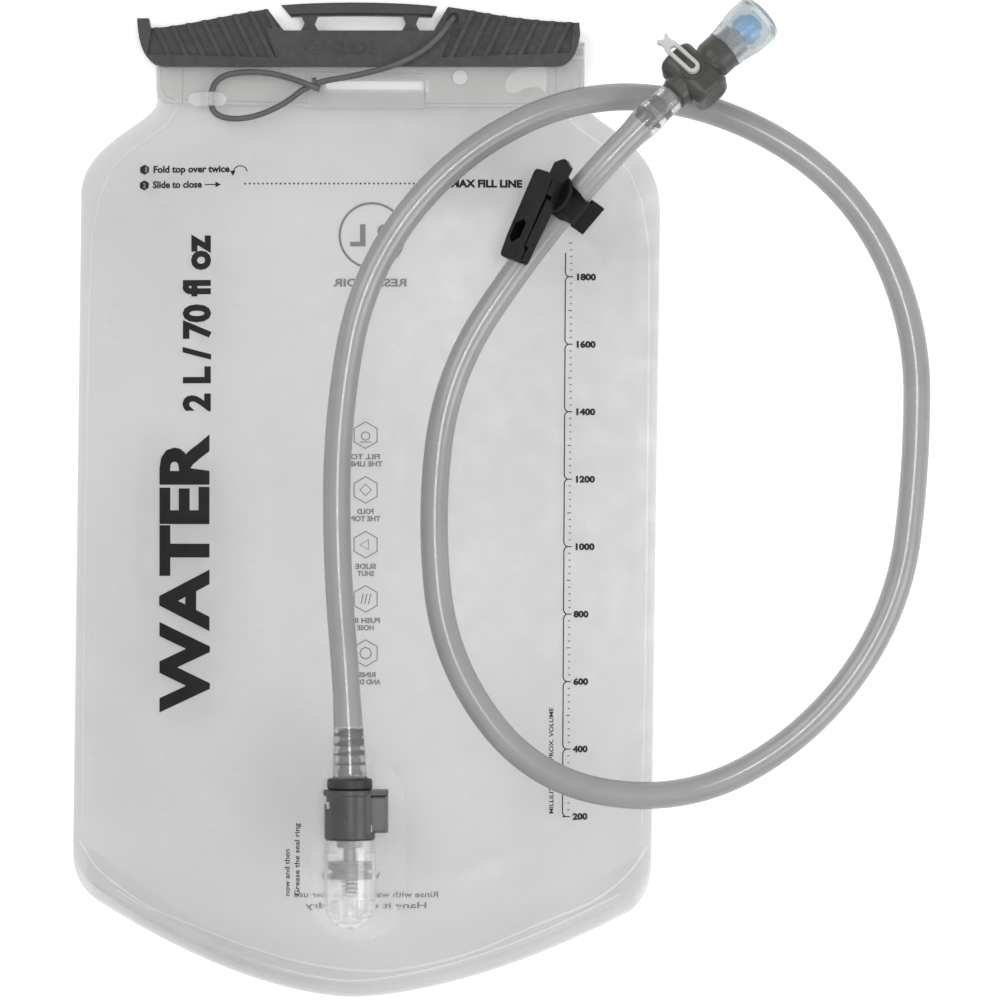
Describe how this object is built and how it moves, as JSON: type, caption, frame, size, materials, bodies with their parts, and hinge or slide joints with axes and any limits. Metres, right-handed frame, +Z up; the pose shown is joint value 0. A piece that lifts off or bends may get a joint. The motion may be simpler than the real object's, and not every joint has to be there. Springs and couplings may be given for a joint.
{
  "type": "hydration bladder",
  "caption": "Flat translucent drinking reservoir with a slide closure, a quick-release port, a looped hose with a bite valve, and a clip on the hose.",
  "frame": {"origin": "on the table, below the middle of the bag and slide's box (hose, clip, valve and tether not counted)", "axes": "+X to the right across the bag, +Y towards the slide closure, +Z up out of the bag's front"},
  "size_m": [0.297, 0.3444, 0.0407],
  "materials": {
    "film": "smooth translucent TPU film",
    "reinforcement": "thicker translucent TPU",
    "slide_grey": "fine moulded texture",
    "tether": "matt",
    "port_clear": "clear moulded",
    "coupling_grey": "satin moulded",
    "steel_spring": "wire",
    "black_rubber": "smooth",
    "hose_clear": "smooth soft tube",
    "valve_grey": "satin moulded",
    "lever_white": "translucent white",
    "bite_clear": "clear silicone",
    "bite_blue": "blue silicone",
    "clip_black": "fine moulded texture"
  },
  "bodies": {
    "reservoir": {"front_panel": "film", "back_panel": "film", "bottom_gusset": "film", "closure_flap": "reinforcement", "front_closure_rail": "reinforcement", "back_closure_rail": "reinforcement", "tether_tab": "reinforcement", "tether_cord": "tether", "tether_eye": "tether", "port_body": "port_clear", "coupling_housing": "coupling_grey", "button_spring": "steel_spring", "poppet_spring": "steel_spring"},
    "slide": {"slide_closure": "slide_grey", "tether_knot": "tether"},
    "button": {"release_button": "coupling_grey"},
    "poppet": {"shutoff_poppet": "coupling_grey", "poppet_seal": "black_rubber"},
    "hose": {"hose_plug": "coupling_grey", "plug_oring": "black_rubber", "drink_tube": "hose_clear", "valve_stem": "valve_grey", "stem_seal_ring": "black_rubber"},
    "valve": {"valve_body": "valve_grey"},
    "lever": {"shutoff_core": "valve_grey", "core_oring": "black_rubber", "shutoff_lever": "lever_white"},
    "bite": {"mouthpiece": "bite_clear", "bite_core": "bite_blue"},
    "saddle": {"clip_collar": "clip_black", "clip_rivet": "clip_black"},
    "clip": {"clip_base_jaw": "clip_black", "clip_pin": "steel_spring", "clip_spring": "steel_spring"},
    "outer_jaw": {"clip_jaw": "clip_black"}
  },
  "joints": [
    {"name": "slide_off", "type": "slide", "parent": "reservoir", "child": "slide", "axis": [-1, 0, 0], "range_m": [0, 0.156], "deforming": ["tether_cord"]},
    {"name": "button_press", "type": "slide", "parent": "reservoir", "child": "button", "axis": [-1, 0, 0], "range_m": [0, 0.001], "stiffness_N_per_m": 1500, "springref_m": -0.0005, "deforming": ["button_spring"]},
    {"name": "hose_unplug", "type": "slide", "parent": "reservoir", "child": "hose", "axis": [0, 1, 0], "range_m": [0, 0.024]},
    {"name": "poppet_close", "type": "slide", "parent": "reservoir", "child": "poppet", "axis": [0, 1, 0], "range_m": [0, 0.003], "deforming": ["poppet_spring"]},
    {"name": "valve_swivel", "type": "hinge", "parent": "hose", "child": "valve", "pos_m": [0.1053, 0.1385, 0.0257], "axis": [-0.7272, -0.6641, 0.1736], "range_deg": [-90, 90]},
    {"name": "valve_lever", "type": "hinge", "parent": "valve", "child": "lever", "pos_m": [0.11272, 0.14527, 0.02393], "axis": [-0.1101, 0.3626, 0.9254], "range_deg": [0, 90]},
    {"name": "mouthpiece_pull", "type": "slide", "parent": "valve", "child": "bite", "axis": [0.7272, 0.6641, -0.1736], "range_m": [0, 0.008]},
    {"name": "clip_slide", "type": "slide", "parent": "hose", "child": "saddle", "axis": [0.6369, 0.7454, 0.1966], "range_m": [-0.003, 0.007]},
    {"name": "clip_swivel", "type": "hinge", "parent": "saddle", "child": "clip", "pos_m": [0.07014, 0.10205, 0.02476], "axis": [0.6279, -0.3536, -0.6933], "range_deg": [-100, 55]},
    {"name": "clip_open", "type": "hinge", "parent": "clip", "child": "outer_jaw", "pos_m": [0.0616, 0.10686, 0.03419], "axis": [-0.6533, 0.2446, -0.7165], "range_deg": [0, 18], "stiffness_Nm_per_rad": 0.08, "springref_deg": -17.19}
  ],
  "couplings": [
    {"joint": "poppet_close", "follows": "hose_unplug", "ratio": 0.125}
  ]
}
